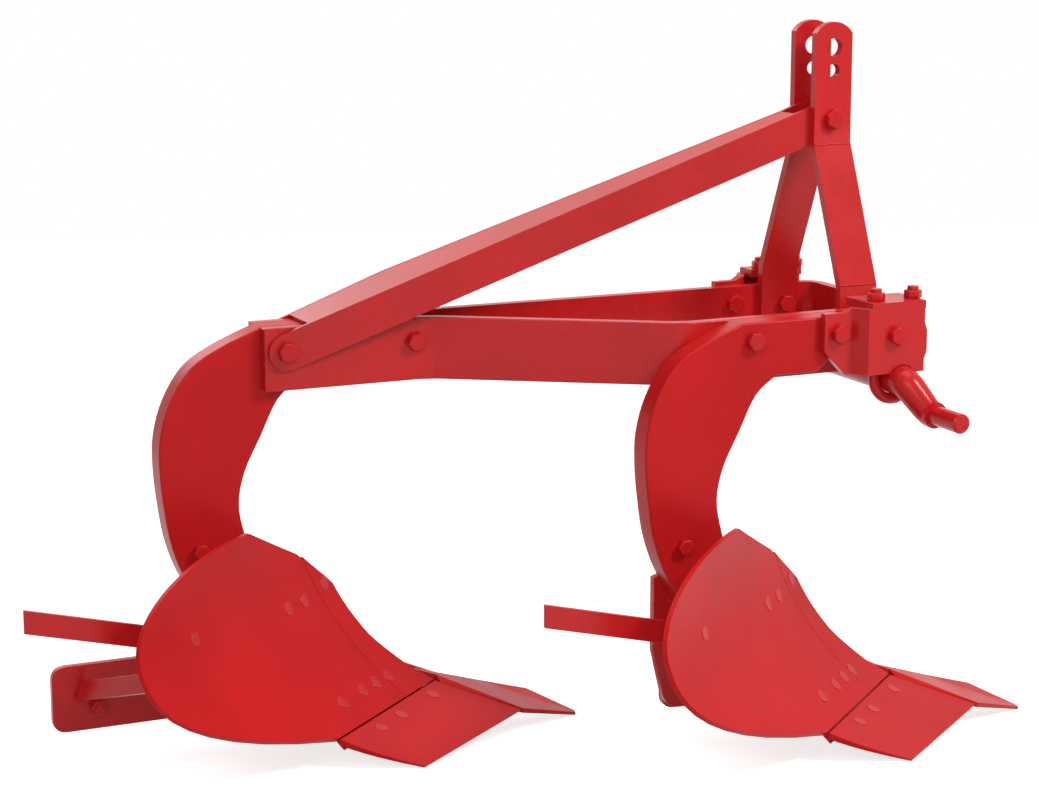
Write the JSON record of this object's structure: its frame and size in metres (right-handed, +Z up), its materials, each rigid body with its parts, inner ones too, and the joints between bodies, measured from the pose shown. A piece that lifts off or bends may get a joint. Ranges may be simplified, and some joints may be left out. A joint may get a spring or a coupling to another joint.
{
  "type": "moldboard plough",
  "caption": "Mounted moldboard plough in red paint: curved legs with moldboards under flat-bar beams, braced mast and cranked cross shaft.",
  "frame": {"origin": "centre of the bounding box on the ground plane the plough stands on", "axes": "+X forward, the direction of travel; +Y to the left, the land side; +Z up"},
  "size_m": [1.4862, 0.7598, 1.0177],
  "materials": {
    "beam_left": "gloss red paint",
    "beam_right": "gloss red paint",
    "beam_spacer": "gloss red paint",
    "bracket_left": "gloss red paint",
    "bracket_right": "gloss red paint",
    "cross_shaft": "gloss red paint",
    "front_frog": "gloss red paint",
    "front_frog_plate": "gloss red paint",
    "front_landside": "gloss red paint",
    "front_leg": "gloss red paint",
    "front_moldboard": "gloss red paint",
    "front_point": "gloss red paint",
    "front_share": "gloss red paint",
    "front_shin": "gloss red paint",
    "front_tail_bar": "gloss red paint",
    "landside_brace": "gloss red paint",
    "mast_left": "gloss red paint",
    "mast_right": "gloss red paint",
    "rear_frog": "gloss red paint",
    "rear_frog_plate": "gloss red paint",
    "rear_landside": "gloss red paint",
    "rear_leg": "gloss red paint",
    "rear_moldboard": "gloss red paint",
    "rear_point": "gloss red paint",
    "rear_share": "gloss red paint",
    "rear_shin": "gloss red paint",
    "rear_tail_bar": "gloss red paint",
    "stay": "gloss red paint",
    "u_bolt_left": "gloss red paint",
    "u_bolt_right": "gloss red paint"
  },
  "bodies": {
    "root": {"beam_left": "beam_left", "beam_right": "beam_right", "beam_spacer": "beam_spacer", "bracket_left": "bracket_left", "bracket_right": "bracket_right", "cross_shaft": "cross_shaft", "front_frog": "front_frog", "front_frog_plate": "front_frog_plate", "front_landside": "front_landside", "front_leg": "front_leg", "front_moldboard": "front_moldboard", "front_point": "front_point", "front_share": "front_share", "front_shin": "front_shin", "front_tail_bar": "front_tail_bar", "landside_brace": "landside_brace", "mast_left": "mast_left", "mast_right": "mast_right", "rear_frog": "rear_frog", "rear_frog_plate": "rear_frog_plate", "rear_landside": "rear_landside", "rear_leg": "rear_leg", "rear_moldboard": "rear_moldboard", "rear_point": "rear_point", "rear_share": "rear_share", "rear_shin": "rear_shin", "rear_tail_bar": "rear_tail_bar", "stay": "stay", "u_bolt_left": "u_bolt_left", "u_bolt_right": "u_bolt_right"}
  },
  "joints": []
}
